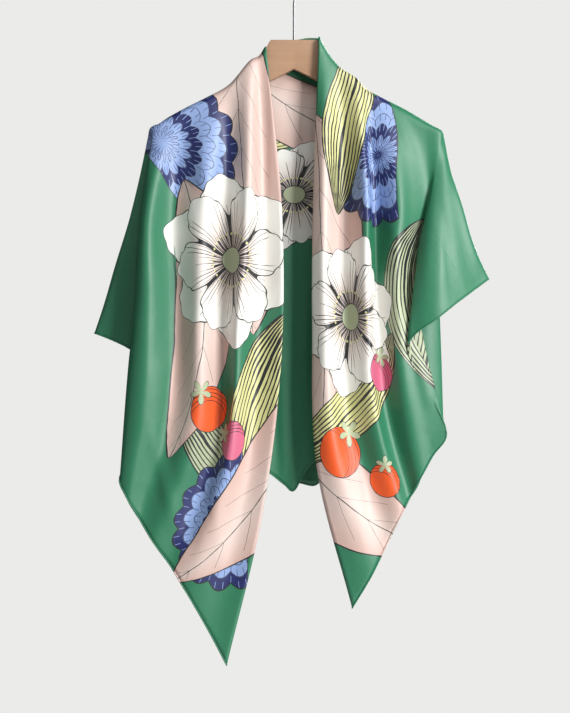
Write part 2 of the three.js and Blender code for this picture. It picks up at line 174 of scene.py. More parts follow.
def unit(v):
    return v / np.maximum(np.linalg.norm(v, axis=-1, keepdims=True), leastLength)


def hermite(start, end, startSlope, endSlope, t):
    t2, t3 = t * t, t * t * t
    return ((2 * t3 - 3 * t2 + 1) * start + (t3 - 2 * t2 + t) * startSlope
            + (3 * t2 - 2 * t3) * end + (t3 - t2) * endSlope)


def armHeight(x):
    distance = abs(x)
    if distance <= armTop[0, 0]:
        return scarf["blockTop"]
    last = len(armTop) - 1
    i = min(int(np.searchsorted(armTop[:, 0], distance)) - 1, last - 1)

    def slope(k):
        low, high = armTop[max(k - 1, 0)], armTop[min(k + 1, last)]
        return (high[1] - low[1]) / (high[0] - low[0])

    step = armTop[i + 1, 0] - armTop[i, 0]
    t = (distance - armTop[i, 0]) / step
    return hermite(armTop[i, 1], armTop[i + 1, 1], slope(i) * step, slope(i + 1) * step, t)


def foldLine(knots, topDirection):
    # points from the hanger to the hem on a smooth curve through six knots
    knots = np.array(knots, float)
    chords = unit(np.diff(knots, axis=0))
    slopes = [unit(np.array(topDirection, float)), chords[1]]
    slopes += [unit(chords[k - 1] + chords[k]) for k in range(2, len(knots) - 1)] + [chords[-1]]
    line = [knots[:1]]
    for k, count in enumerate(scarf["rows"]):
        t = (np.arange(count) + 1)[:, None] / count
        span = np.linalg.norm(knots[k + 1] - knots[k])
        line.append(hermite(knots[k], knots[k + 1], slopes[k] * span, slopes[k + 1] * span, t))
    return np.vstack(line)


def stations(row, shoulder, hem):
    return [(row[f"x{k}"], row[f"y{k}"], shoulder[2] + (hem[2] - shoulder[2]) * k / 4) for k in (1, 2, 3)]


def frontLine(row):
    top = (row["top"], 0, armHeight(row["top"]) + scarf["ridgeRise"] + row["lift"])
    shoulderX = row["top"] + (row["x1"] - row["top"]) * scarf["shoulderLean"]
    shoulder = (shoulderX, -scarf["shoulderReach"] - .5 * row["lift"], top[2] - scarf["shoulderDrop"])
    hem = (row["hemX"], row["hemY"], row["hemZ"])
    return foldLine([top, shoulder, *stations(row, shoulder, hem), hem], (0, -1, 0))


def sideLine(row, tip, sink=0.0, shorten=0.0):
    x, reach = tip
    angle = math.radians(row["angle"])
    outward = np.array([math.cos(angle), math.sin(angle), 0])
    top = np.array([x, 0, armHeight(x) + scarf["ridgeRise"] - sink])
    shoulder = top - (0, 0, scarf["shoulderDrop"]) + outward * (reach - shorten)
    hem = (row["hemX"], row["hemY"], row["hemZ"])
    return foldLine([top, shoulder, *stations(row, shoulder, hem), hem], outward)


def backLine(row, inner):
    names = ("inX", "inY", "inZ") if inner else ("hemX", "hemY", "hemZ")
    hem = np.array([row[name] for name in names])
    x = row["top"]
    behind = scarf["collarBehind"]
    if row["collar"]:
        nearCorner = scarf["collarCorner"] * abs(x) / scarf["blockHalf"]
        base, slope, crown = scarf["collarTop"]
        height = base + slope * x + crown * x * x - scarf["collarRound"] * (x / .036) ** 8
        top = np.array([x + math.copysign(nearCorner, x), behind - nearCorner, height])
        shoulder = np.array([scarf["collarSpread"] * x, behind + scarf["backStep"],
                             top[2] - scarf["shoulderDrop"]])
        direction = (0, 0, -1)
    else:
        top = np.array([x, 0, armHeight(x) + scarf["ridgeRise"] + row["lift"]])
        reach = scarf["shoulderReach"] + scarf["backStep"] + row["lift"] / 2
        shoulder = np.array([scarf["shoulderSpread"] * x, reach, top[2] - scarf["shoulderDrop"]])
        direction = (0, 1, 0)
    startY = behind + (0 if inner else scarf["backStep"])
    middle = []
    for t in (.25, .5, .75):
        place = shoulder + (hem - shoulder) * t
        place[1] = startY + (hem[1] - startY) * t
        middle.append(place)
    return foldLine([top, shoulder, *middle, hem], direction)


def surfaceThrough(lines, steps):
    # centripetal curves from line to line, which make no loop where lines crowd on one side
    leastSpan = .03
    lines = np.array(lines)
    p = np.concatenate([[2 * lines[0] - lines[1]], lines, [2 * lines[-1] - lines[-2]]])

    def span(a, b):
        return np.maximum(np.sqrt(np.linalg.norm(b - a, axis=-1, keepdims=True)), leastSpan)

    columns = []
    for i, count in enumerate(steps):
        p0, p1, p2, p3 = p[i:i + 4]
        first, middle, last = span(p0, p1), span(p1, p2), span(p2, p3)
        direct = (p2 - p1) / middle
        before = (p1 - p0) / first - (p2 - p0) / (first + middle) + direct
        after = (p3 - p2) / last - (p3 - p1) / (middle + last) + direct
        for s in range(count):
            columns.append(hermite(p1, p2, before * middle, after * middle, s / count))
    return np.array(columns + [lines[-1]])


def outward(surface):
    across = np.gradient(surface, axis=0)
    down = np.gradient(surface, axis=1)
    out = np.cross(across, down)
    out[np.linalg.norm(out, axis=-1) < leastArea] = (0, 0, 1)
    return unit(out)


leftFrontRows = table(frontColumns, leftFront)
rightFrontRows = table(frontColumns, rightFront)
leftSideRows = table(sideColumns, leftSide)
rightSideRows = table(sideColumns, rightSide)
innerLeftRows = table(sideColumns, innerLeftSide)
innerSideRows = table(sideColumns, innerRightSide)
backRows = table(backColumns, backLines)

frontLeftLines = [frontLine(row) for row in leftFrontRows]
sideLeftLines = [sideLine(row, scarf["leftTip"]) for row in leftSideRows]
frontRightLines = [frontLine(row) for row in rightFrontRows]
sideRightLines = [sideLine(row, scarf["rightTip"]) for row in rightSideRows]
outerLines = [*frontLeftLines, *sideLeftLines, *[backLine(row, False) for row in backRows],
              *sideRightLines, *frontRightLines]
outerTables = leftFrontRows + leftSideRows + backRows + rightSideRows + rightFrontRows
outerSteps = [row["steps"] for row in outerTables][:-1]
outer = surfaceThrough(outerLines, outerSteps)

# The inner layer's right front ends behind the outer layer's turned edge
innerRightFront = table(frontColumns, [
    ("hidden edge", .186, 0, .178, -.006, .163, -.006, .158, -.010, .161, -.016, -.660, 6),
    ("slope", .160, 0, .164, -.020, .156, -.019, .164, -.026, .186, -.028, -.694, 6),
])
innerLeftLines = [sideLine(row, scarf["leftTip"], *scarf["innerTuck"]) for row in innerLeftRows]
innerSideLines = [sideLine(row, scarf["rightTip"], *scarf["innerTuck"]) for row in innerSideRows]
innerLines = [*frontLeftLines, *sideLeftLines[:2], *innerLeftLines[2:],
              *[backLine(row, True) for row in backRows], *innerSideLines,
              *[frontLine(row) for row in innerRightFront], *frontRightLines[2:]]
innerTables = leftFrontRows + leftSideRows + backRows + innerSideRows + innerRightFront + rightFrontRows[2:]
innerSteps = [row["steps"] for row in innerTables][:-1]
inner = surfaceThrough(innerLines, innerSteps)


def columnOf(steps, line):
    return sum(steps[:line])


def layerPlan(steps, sideRows, tipRows):
    # first and last column at the left tip, along the collar's fold and at the right tip
    front = len(leftFrontRows)
    back = front + sideRows
    right = back + len(backRows)
    collar = [line for line, row in enumerate(backLines) if row[3]]
    return {
        "leftTip": (columnOf(steps, front), columnOf(steps, back - 1)),
        "fold": (columnOf(steps, back + collar[0] - 1), columnOf(steps, back + collar[-1] + 1)),
        "rightTip": (columnOf(steps, right), columnOf(steps, right + tipRows - 1)),
        "last": sum(steps),
    }


outerPlan = layerPlan(outerSteps, len(leftSideRows), len(rightSideRows))
innerPlan = layerPlan(innerSteps, len(leftSideRows), len(innerSideRows))


def layerIds(surface, plan, first):
    # one vertex for each point; the front's and the back's top rows share theirs along the hanger
    columns, rows = surface.shape[:2]
    ids = first + np.arange(columns * rows).reshape(columns, rows)
    leftA, leftB = plan["leftTip"]
    rightA, rightB = plan["rightTip"]
    ids[leftA:leftB + 1, 0] = ids[leftA, 0]
    ids[rightA:rightB + 1, 0] = ids[rightA, 0]
    for c in range(leftA):
        ids[c, 0] = ids[plan["fold"][0] - c, 0]
    for k in range(plan["last"] - rightB):
        ids[plan["last"] - k, 0] = ids[plan["fold"][1] + k, 0]
    return ids


def foldEdge(ids, plan):
    first, last = plan["fold"]
    return [*ids[0, ::-1], *ids[first + 1:last + 1, 0], *ids[-1, 1:]]


def quads(ids, flip):
    a, b, c, d = ids[:-1, :-1], ids[1:, :-1], ids[1:, 1:], ids[:-1, 1:]
    order = (a, d, c, b) if flip else (a, b, c, d)
    return np.stack([corner.ravel() for corner in order], axis=1)


def scarfMesh(name, outerPoints, innerPoints):
    outerIds = layerIds(outerPoints, outerPlan, 0)
    innerIds = layerIds(innerPoints, innerPlan, outerIds.size)
    points = np.concatenate([outerPoints.reshape(-1, 3), innerPoints.reshape(-1, 3)])
    p, q = foldEdge(outerIds, outerPlan), foldEdge(innerIds, innerPlan)
    strip = np.array([(p[i + 1], p[i], q[i], q[i + 1]) for i in range(len(p) - 1)])
    faces = np.concatenate([quads(outerIds, False), quads(innerIds, True), strip])
    used, compact = np.unique(faces, return_inverse=True)
    polygons = []
    for face in compact.reshape(faces.shape).tolist():
        corners = [v for i, v in enumerate(face) if v != face[i - 1]]
        if len(corners) > 2:
            polygons.append(corners)
    mesh = bpy.data.meshes.new(name)
    mesh.from_pydata(points[used].tolist(), [], polygons)
    obj = bpy.data.objects.new(name, mesh)
    bpy.context.collection.objects.link(obj)
    return obj, np.searchsorted(used, outerIds), np.searchsorted(used, innerIds)


def switch(mode):
    bpy.ops.object.mode_set(mode=mode)


def selectOnly(obj):
    bpy.ops.object.select_all(action="DESELECT")
    obj.select_set(True)
    bpy.context.view_layer.objects.active = obj


def cornerVertices(mesh):
    corner = np.empty(len(mesh.loops), np.int32)
    mesh.loops.foreach_get("vertex_index", corner)
    return corner


def throughRows(values, steps):
    # fills the rows between every fifth one with a smooth curve
    ends = 2 * values[:, :1] - values[:, 1:2], 2 * values[:, -1:] - values[:, -2:-1]
    p = np.concatenate([ends[0], values, ends[1]], axis=1)
    before, after = (p[:, 2:-1] - p[:, :-3]) / 2, (p[:, 3:] - p[:, 1:-2]) / 2
    filled = [hermite(p[:, 1:-2], p[:, 2:-1], before, after, s / steps) for s in range(steps)]
    rows = np.stack(filled, axis=2).reshape(len(values), -1, 2)
    return np.concatenate([rows, values[:, -1:]], axis=1)


def flatten(steps=5):
    # lays the square flat: u runs along the fold from the collar's middle, v away from it, in metres
    rough, outerIds, innerIds = scarfMesh("rough", outer[:, ::steps], inner[:, ::steps])
    selectOnly(rough)
    switch("EDIT")
    bpy.ops.mesh.select_all(action="SELECT")
    bpy.ops.uv.unwrap(method="MINIMUM_STRETCH", margin=0)
    switch("OBJECT")
    mesh = rough.data
    corner = cornerVertices(mesh)
    uv = np.empty(len(corner) * 2, np.float32)
    mesh.uv_layers.active.data.foreach_get("uv", uv)
    uv = uv.reshape(-1, 2)
    flat = np.zeros((len(mesh.vertices), 2))
    flat[corner] = uv
    solidArea = sum(face.area for face in mesh.polygons)
    starts = np.array([face.loop_start for face in mesh.polygons])
    counts = np.array([face.loop_total for face in mesh.polygons])
    flatArea = 0
    for k in (1, 2):
        pick = counts > k + 1
        a, b, c = (uv[starts[pick] + n] for n in (0, k, k + 1))
        flatArea += np.abs(np.cross(b - a, c - a)).sum() / 2
    flat *= math.sqrt(solidArea / flatArea)
    collar = sum(outerPlan["fold"]) // 2
    flat -= flat[outerIds[collar, 0]]
    along = unit(flat[outerIds[-1, -1]] - flat[outerIds[0, -1]])
    away = np.array([-along[1], along[0]])
    if flat[outerIds[collar, -1]] @ away < 0:
        away = -away
    flat = np.stack([flat @ along, flat @ away], axis=1)
    bpy.data.objects.remove(rough)
    return throughRows(flat[outerIds], steps), throughRows(flat[innerIds], steps)


# Lesser folds, raised or sunk from the cloth's own shape: a line in x and z, half width and height
creaseColumns = "part x0 z0 x1 z1 width depth".split()
creases = table(creaseColumns, [
    ("left", -.150, -.230, -.118, -.440, .010, -.0030),
    ("left", -.112, -.200, -.106, -.330, .008, .0024),
    ("left", -.190, -.262, -.152, -.330, .007, -.0022),
    ("left", -.030, -.160, -.032, -.420, .006, .0016),
    ("left", -.062, -.420, -.120, -.800, .009, -.0030),
    ("left", -.180, -.520, -.205, -.760, .008, .0026),
    ("left", -.205, -.640, -.150, -.860, .009, .0030),
    ("left", -.120, -.620, -.100, -.900, .008, .0022),
    ("leftFlare", -.244, -.360, -.266, -.530, .010, .0020),
    ("leftFlare", -.236, -.430, -.236, -.560, .008, -.0018),
    ("right", .044, -.200, .062, -.236, .004, .0018),
    ("right", .090, -.170, .128, -.300, .007, .0026),
    ("right", .134, -.190, .170, -.280, .007, .0018),
    ("right", .128, -.260, .152, -.420, .006, -.0018),
    ("right", .060, -.330, .040, -.560, .007, -.0018),
    ("right", .150, -.480, .196, -.640, .009, .0030),
    ("right", .110, -.560, .150, -.740, .009, -.0030),
    ("right", .080, -.620, .100, -.830, .008, .0024),
    ("rightFlare", .206, -.330, .226, -.500, .008, -.0028),
    ("rightFlare", .226, -.300, .262, -.450, .009, .0030),
    ("rightFlare", .200, -.300, .176, -.520, .008, .0026),
    ("back", -.150, -.300, -.120, -.560, .010, .0030),
    ("back", -.070, -.260, -.030, -.600, .009, -.0030),
    ("back", .000, -.200, .016, -.520, .010, .0032),
    ("back", .040, -.380, .020, -.690, .009, .0028),
    ("back", .110, -.300, .090, -.600, .010, -.0032),
    ("back", .150, -.270, .158, -.500, .009, .0028),
    ("back", -.100, -.500, -.060, -.690, .008, .0024),
])
hemWave = {
    "height": .0016,
    "reach": 4,  # rows that it takes to fade
    "waves": ((61, .4), (113, 1.7), (197, 2.9)),  # turns in radians along the hem, and phase
    "still": 8,  # rows at the hanger over which folds and waves grow from nothing
}


def creased(surface, plan):
    leftA, leftB = plan["leftTip"]
    rightA, rightB = plan["rightTip"]
    parts = {"left": (0, leftA), "leftFlare": (leftA, leftB), "back": (leftB, rightA),
             "rightFlare": (rightA, rightB), "right": (rightB, plan["last"])}
    columns, rows = surface.shape[:2]
    lift = np.zeros((columns, rows))
    for row in creases:
        first, last = parts[row["part"]]
        place = surface[first:last + 1, :, ::2]
        start, end = np.array([row["x0"], row["z0"]]), np.array([row["x1"], row["z1"]])
        length = np.linalg.norm(end - start)
        along = (end - start) / length
        t = (place - start) @ along / length
        off = (place - start) @ np.array([-along[1], along[0]])
        swell = np.clip(1 - (2 * t - 1) ** 2, 0, 1) * np.exp(-(off / row["width"]) ** 2)
        lift[first:last + 1] += row["depth"] * swell
    waves = [np.sin(np.linspace(0, turns, columns) + phase) for turns, phase in hemWave["waves"]]
    ripple = sum(waves) / len(waves)
    lift += hemWave["height"] * ripple[:, None] * np.exp((np.arange(rows) - rows + 1) / hemWave["reach"])
    lift *= np.clip(np.arange(rows) / hemWave["still"], 0, 1)
    return surface + outward(surface) * lift[..., None]


outer, inner = creased(outer, outerPlan), creased(inner, innerPlan)
outer = outer + outward(outer) * scarf["outerRise"]
inner = inner - outward(inner) * scarf["layerStep"]
outerFlat, innerFlat = flatten()
cloth, outerIds, innerIds = scarfMesh("scarf", outer, inner)
flat = np.zeros((len(cloth.data.vertices), 2))
flat[innerIds], flat[outerIds] = innerFlat, outerFlat
silkMap = cloth.data.uv_layers.new(name="silkMap")
silkMap.data.foreach_set("uv", flat[cornerVertices(cloth.data)].astype(np.float32).ravel())
print("square laid flat", np.round(flat.min(0), 3), np.round(flat.max(0), 3))

selectOnly(cloth)
bpy.ops.object.shade_smooth()
wall = cloth.modifiers.new("wall", "SOLIDIFY")
wall.thickness = scarf["silk"]
wall.offset = -1
wall.material_offset = 1
wall.material_offset_rim = 0
bpy.ops.object.modifier_apply(modifier="wall")
print("scarf", len(cloth.data.polygons), "faces")

# Rolled hem: a thin tube round the whole square, puckered at the hand stitches
hem = {"radius": .0011, "sides": 6, "stitch": .0062, "pucker": .12, "corner": .0004}


def hemTube():
    left, right = foldCorner(0), foldCorner(-1)
    path = np.concatenate([outer[:, -1], right, inner[::-1, -1], left])
    uvPath = np.concatenate([outerFlat[:, -1], (outerFlat[-1:, -1] + innerFlat[-1:, -1]) / 2,
                             innerFlat[::-1, -1], (outerFlat[:1, -1] + innerFlat[:1, -1]) / 2])
    closed = np.concatenate([path, path[:1]])
    gone = np.concatenate([[0], np.cumsum(np.linalg.norm(np.diff(closed, axis=0), axis=1))])
    count = int(gone[-1] / (hem["stitch"] / 3))
    at = np.linspace(0, gone[-1], count, endpoint=False)
    line = np.stack([np.interp(at, gone, closed[:, k]) for k in range(3)], axis=1)
    closedUv = np.concatenate([uvPath, uvPath[:1]])
    uv = np.stack([np.interp(at, gone, closedUv[:, k]) for k in range(2)], axis=1)
    along = unit(np.roll(line, -1, axis=0) - np.roll(line, 1, axis=0))
    side = unit(np.cross(along, (0, 0, 1)))
    up = np.cross(side, along)
    swell = hem["radius"] * (1 + hem["pucker"] * np.cos(2 * math.pi * at / hem["stitch"]))
    rings = []
    for k in range(hem["sides"]):
        turn = 2 * math.pi * k / hem["sides"]
        rings.append(line + swell[:, None] * (side * math.cos(turn) + up * math.sin(turn)))
    points = np.stack(rings, axis=1).reshape(-1, 3)
    n, m = count, hem["sides"]
    faces = [(i * m + k, i * m + (k + 1) % m, (i + 1) % n * m + (k + 1) % m, (i + 1) % n * m + k)
             for i in range(n) for k in range(m)]
    mesh = bpy.data.meshes.new("rolledHem")
    mesh.from_pydata(points.tolist(), [], faces)
    obj = bpy.data.objects.new("rolledHem", mesh)
    bpy.context.collection.objects.link(obj)
    layer = mesh.uv_layers.new(name="silkMap")
    layer.data.foreach_set("uv", np.repeat(uv, m, axis=0)[cornerVertices(mesh)].astype(np.float32).ravel())
    selectOnly(obj)
    bpy.ops.object.shade_smooth()
    return obj


def foldCorner(column):
    # the tip of a front, where the hem goes round the fold
    away = unit(outer[column, -1] - outer[1 if column == 0 else -2, -1])
    return ((outer[column, -1] + inner[column, -1]) / 2 + away * hem["corner"])[None]


rolledHem = hemTube()
print("hem", len(rolledHem.data.polygons), "faces")

# Flat wooden hanger: half of it is drawn out from the block in steps, then mirrored
hanger = {
    "thick": .012,
    "blockTop": -.1093,
    "notch": -.1505,
    "steps": [  # distance from the middle, top edge, lower edge
        (.008, -.1093, -.1545), (.0325, -.1093, -.1666), (.035, -.112, -.169), (.039, -.120, -.172),
        (.045, -.130, -.1745), (.054, -.1402, -.1785), (.064, -.150, -.183), (.076, -.1618, -.1885),
        (.088, -.1728, -.1945), (.104, -.182, -.202), (.125, -.193, -.212), (.150, -.2055, -.2245),
        (.172, -.2175, -.236), (.186, -.2262, -.2445), (.196, -.2325, -.2490),
    ],
    "middle": .004,  # half width of the slab that the half is drawn from
    "notchRise": .002,
    "edge": .0009,
    "tipRound": .005,
    "near": 1e-5,
}


def hangerBody():
    thick, top, low = hanger["thick"], hanger["blockTop"], hanger["notch"]
    x0, rise, near = hanger["middle"], hanger["notchRise"], hanger["near"]
    bpy.ops.object.select_all(action="DESELECT")
    bpy.ops.mesh.primitive_cube_add(size=1, location=(x0 / 2, 0, (top + low - rise) / 2),
                                    scale=(x0, thick, top - low + rise))
    obj = bpy.context.object
    obj.name = "hangerWood"
    bpy.ops.object.transform_apply(location=True, rotation=True, scale=True)
    switch("EDIT")
    bpy.ops.mesh.select_mode(type="FACE")
    bpy.ops.mesh.select_all(action="DESELECT")
    switch("OBJECT")
    for face in obj.data.polygons:
        face.select = face.normal.x > .9
    switch("EDIT")
    x, high, foot = x0, top, low - rise
    for stepX, stepTop, stepFoot in hanger["steps"]:
        bpy.ops.mesh.extrude_region_move(
            TRANSFORM_OT_translate={"value": (stepX - x, 0, (stepTop + stepFoot - high - foot) / 2)})
        bpy.ops.transform.resize(value=(1, 1, (stepTop - stepFoot) / (high - foot)),
                                 center_override=(stepX, 0, (stepTop + stepFoot) / 2))
        x, high, foot = stepX, stepTop, stepFoot

    def selectTip():
        switch("OBJECT")
        for edge in obj.data.edges:
            a, b = (obj.data.vertices[v].co for v in edge.vertices)
            edge.select = min(a.x, b.x) > x - 10 * near and abs(a.z - b.z) < near
        switch("EDIT")

    selectTip()
    bpy.ops.mesh.select_mode(type="EDGE")
    selectTip()
    bpy.ops.mesh.bevel(offset=hanger["tipRound"], segments=4, affect="EDGES")
    bpy.ops.mesh.select_mode(type="VERT")
    bpy.ops.mesh.select_all(action="DESELECT")
    switch("OBJECT")
    for vertex in obj.data.vertices:
        vertex.select = vertex.co.x < near and vertex.co.z < (low + top) / 2
    switch("EDIT")
    bpy.ops.transform.translate(value=(0, 0, rise))
    bpy.ops.mesh.select_mode(type="FACE")
    bpy.ops.mesh.select_all(action="DESELECT")
    switch("OBJECT")
    for face in obj.data.polygons:
        face.select = face.center.x < near
    switch("EDIT")
    bpy.ops.mesh.delete(type="FACE")
    switch("OBJECT")
    other = obj.modifiers.new("otherHalf", "MIRROR")
    other.use_clip = True
    other.merge_threshold = .00005
    bpy.ops.object.modifier_apply(modifier="otherHalf")
    edges = obj.modifiers.new("edges", "BEVEL")
    edges.width = hanger["edge"]
    edges.segments = 3
    edges.limit_method = "ANGLE"
    edges.angle_limit = math.radians(50)
    bpy.ops.object.modifier_apply(modifier="edges")
    switch("EDIT")
    bpy.ops.mesh.select_all(action="SELECT")
    bpy.ops.mesh.normals_make_consistent(inside=False)
    switch("OBJECT")
    bpy.ops.object.shade_smooth_by_angle(angle=math.radians(35))
    return obj


hangerWood = hangerBody()
print("hanger", len(hangerWood.data.polygons), "faces")

# Steel hook: a disc spun over the hook's top, spun back into the shank, then drawn down into the wood
rod = {"radius": .0016, "bend": .021, "start": 55, "end": 200, "seat": -.114, "tipRound": .0011}


def selectFace(obj, spot, normal):
    switch("EDIT")
    bpy.ops.mesh.select_mode(type="FACE")
    bpy.ops.mesh.select_all(action="DESELECT")
    switch("OBJECT")
    target = np.array(spot)
    faces = [f for f in obj.data.polygons if np.dot(f.normal, normal) > .9]
    min(faces, key=lambda f: np.linalg.norm(np.array(f.center) - target)).select = True
    switch("EDIT")


def steelHook():
    bend, radius = rod["bend"], rod["radius"]
    centre = (0, 0, radius - bend)
    start, end = math.radians(rod["start"]), math.radians(rod["end"])
    bpy.ops.object.select_all(action="DESELECT")
    bpy.ops.mesh.primitive_circle_add(vertices=16, radius=radius, fill_type="NGON",
                                      location=(bend, 0, centre[2]))
    obj = bpy.context.object
    obj.name = "steelHook"
    bpy.ops.object.transform_apply(location=True, rotation=True, scale=True)
    switch("EDIT")
    bpy.ops.mesh.select_all(action="SELECT")
    bpy.ops.mesh.extrude_region_move(TRANSFORM_OT_translate={"value": (0, 0, -.0003)})
    bpy.ops.mesh.select_all(action="SELECT")
    bpy.ops.mesh.normals_make_consistent(inside=False)
    selectFace(obj, (bend, 0, centre[2]), (0, 0, 1))
    bpy.ops.mesh.spin(steps=36, angle=end, center=centre, axis=(0, 1, 0))
    bpy.ops.mesh.bevel(offset=rod["tipRound"], segments=3, affect="EDGES")
    selectFace(obj, (bend, 0, centre[2]), (0, 0, -1))
    bpy.ops.mesh.spin(steps=12, angle=-start, center=centre, axis=(0, 1, 0))
    x, z = bend * math.cos(start), centre[2] - bend * math.sin(start)
    turn = x / (1 - math.cos(start))  # radius that brings the rod back under the hook's middle
    second = (turn, 0, z - turn * math.sin(start))
    bpy.ops.mesh.spin(steps=12, angle=start, center=second, axis=(0, 1, 0))
    bpy.ops.mesh.extrude_region_move(TRANSFORM_OT_translate={"value": (0, 0, rod["seat"] - second[2])})
    bpy.ops.mesh.select_all(action="SELECT")
    bpy.ops.mesh.remove_doubles(threshold=.00002)
    bpy.ops.mesh.normals_make_consistent(inside=False)
    switch("OBJECT")
    bpy.ops.object.shade_smooth_by_angle(angle=math.radians(40))
    return obj


hook = steelHook()
print("hook", len(hook.data.polygons), "faces",
      [round(min(v.co[k] for v in hook.data.vertices), 4) for k in range(3)],
      [round(max(v.co[k] for v in hook.data.vertices), 4) for k in range(3)])


class Wire:
    # a socket that Python sums can be written with
    def __init__(self, tree, socket):
        self.tree, self.socket = tree, socket

    def node(self, kind, settings=(), outlet=0, **inlets):
        # made with its settings first, then the values or links of its sockets; i0 is socket number 0
        made = self.tree.nodes.new(kind)
        for name, value in dict(settings).items():
            setattr(made, name, value)
        for name, value in inlets.items():
            inlet = made.inputs[int(name[1:])] if name[0] == "i" and name[1:].isdigit() else made.inputs[name]
            if isinstance(value, Wire):
                self.tree.links.new(value.socket, inlet)
            else:
                inlet.default_value = value
        return Wire(self.tree, made.outputs[outlet])

    def maths(self, operation, other=0.0):
        return self.node("ShaderNodeMath", {"operation": operation}, i0=self, i1=other)

    def between(self, a, b):
        # the mix of two colours, self being the share of the second
        return self.node("ShaderNodeMix", {"data_type": "RGBA"}, 2, i0=self, i6=a, i7=b)

    def axis(self, k):
        return self.node("ShaderNodeSeparateXYZ", outlet=k, Vector=self)

    def noise(self, scale, detail, outlet=0, dimensions="3D"):
        return self.node("ShaderNodeTexNoise", {"noise_dimensions": dimensions}, outlet,
                         Vector=self, Scale=scale, Detail=detail)

    def bump(self):
        return self.node("ShaderNodeBump", Height=self, Distance=1.0, Strength=1.0)

    def __add__(self, other):
        return self.maths("ADD", other)

    def __radd__(self, other):
        return self.maths("ADD", other)

    def __sub__(self, other):
        return self.maths("SUBTRACT", other)

    def __rsub__(self, other):
        return self.node("ShaderNodeMath", {"operation": "SUBTRACT"}, i0=other, i1=self)

    def __mul__(self, other):
        return self.maths("MULTIPLY", other)

    def __rmul__(self, other):
        return self.maths("MULTIPLY", other)

    def __truediv__(self, other):
        return self.maths("DIVIDE", other)

    def __lt__(self, other):
        return self.maths("LESS_THAN", other)

    def __gt__(self, other):
        return self.maths("GREATER_THAN", other)


def newMaterial(name, **shader):
    material = bpy.data.materials.new(name)
    material.use_nodes = True
    tree = material.node_tree
    surface = tree.nodes["Principled BSDF"]
    for socket, value in shader.items():
        surface.inputs[socket.replace("_", " ")].default_value = value
    return material, tree, surface


# Printed silk. Colours are linear; the layout lies on the flat square: place (u, v), turn in degrees, sizes
silk = {
    "emerald": (.019, .165, .081, 1),
    "ink": (.010, .011, .014, 1),
    "blush": (.56, .375, .325, 1),
    "cream": (.76, .75, .70, 1),
    "olive": (.58, .57, .26, 1),
    "sage": (.38, .43, .27, 1),
    "periwinkle": (.23, .33, .58, 1),
    "navy": (.008, .014, .10, 1),
    "orange": (.74, .085, .008, 1),
    "rose": (.55, .115, .20, 1),
    "fadeTo": (.5, .56, .5, 1),
    "fade": .25,
    "line": .0011,
    "wobble": .006,
    "roughness": (.46, .10),  # least, and how much more where the cloth was handled
    "gloss": .65,
    "twill": (.0009, .000006),  # pitch and height of the weave's ridges
    "crumple": (20, .0010),
    "press": (.0016, .00018),  # half width and depth of the lines left by folding the square away
}

# Large leaves: where the stalk is, its turn, length, half width, bend, colour, and how its lines run
leafColumns = "u v turn long wide bend colour lines".split()
leaves = table(leafColumns, [
    # left front
    (.000, .040, 172, .46, .078, .22, "blush", "veins"),
    (-.270, .140, 201, .36, .058, -.35, "blush", "veins"),
    (-.430, -.060, 148, .30, .042, .4, "olive", "hatch"),
    (-.480, -.110, 172, .36, .062, -.3, "blush", "veins"),
    (-.560, .140, 222, .26, .036, .3, "sage", "hatch"),
    # right front
    (.030, .105, -30, .27, .040, .3, "olive", "hatch"),
    (.160, .000, 8, .46, .080, -.25, "blush", "veins"),
    (.300, .210, -24, .30, .046, .5, "sage", "hatch"),
    (.520, -.120, 24, .32, .062, .2, "blush", "veins"),
    (.470, .150, -42, .30, .038, -.4, "olive", "hatch"),
    # back, outer layer
    (.020, .060, 60, .38, .080, .3, "blush", "veins"),
    (-.060, .110, 118, .40, .076, -.4, "blush", "veins"),
    (.200, .420, 150, .32, .044, .4, "olive", "hatch"),
    (-.160, .330, 100, .28, .044, .3, "sage", "hatch"),
    (.140, .300, 78, .28, .066, .4, "blush", "veins"),
    # inner layer
    (-.100, -.040, -50, .34, .060, .4, "blush", "veins"),
    (.080, -.090, -140, .26, .040, -.3, "olive", "hatch"),
    (.500, -.300, 120, .34, .060, .3, "blush", "veins"),
])

# Open blossoms: centre, turn, petal length, petals
blossomColumns = "u v turn long petals".split()
blossoms = table(blossomColumns, [
    (-.375, .060, 12, .118, 6),
    (.440, .052, 40, .108, 6),
    (.020, .340, 5, .150, 7),
    (-.210, .480, 40, .115, 6),
    (.010, -.265, 20, .090, 6),
])

# Round fruits: centre, turn, radius, colour
fruitColumns = "u v turn radius colour".split()
fruits = table(fruitColumns, [
    (-.575, .080, 40, .030, "orange"),
    (-.610, .022, 75, .025, "rose"),
    (.520, .100, 150, .026, "rose"),
    (.610, -.010, 130, .033, "orange"),
    (.665, .045, 160, .024, "orange"),
    (.150, .520, 60, .034, "orange"),
    (.095, .480, 20, .028, "rose"),
    (-.330, .300, 100, .028, "orange"),
])

# Faint lines where the square lay folded: middle, turn, length
pressColumns = "u v turn long".split()
presses = table(pressColumns, [
    (.130, .060, 28, .060), (.300, .030, 22, .050), (.330, .270, 60, .120), (.500, .110, 100, .150),
    (-.255, .120, 30, .100), (-.420, .030, 95, .120), (-.640, .000, 84, .200), (-.345, .330, 120, .100),
    (.000, .330, 0, .700), (.000, .150, 90, .250), (.040, -.330, 0, .500), (.010, -.430, 88, .260),
])

# Shells: centre, turn, radius, ring spacing
shellColumns = "u v turn radius ring".split()
shells = table(shellColumns, [
    (-.225, .165, 215, .100, .017),
    (-.715, -.010, 20, .085, .016),
    (.225, .118, 195, .088, .017),
    (.240, .560, 250, .120, .019),
    (-.050, .600, 190, .100, .018),
])


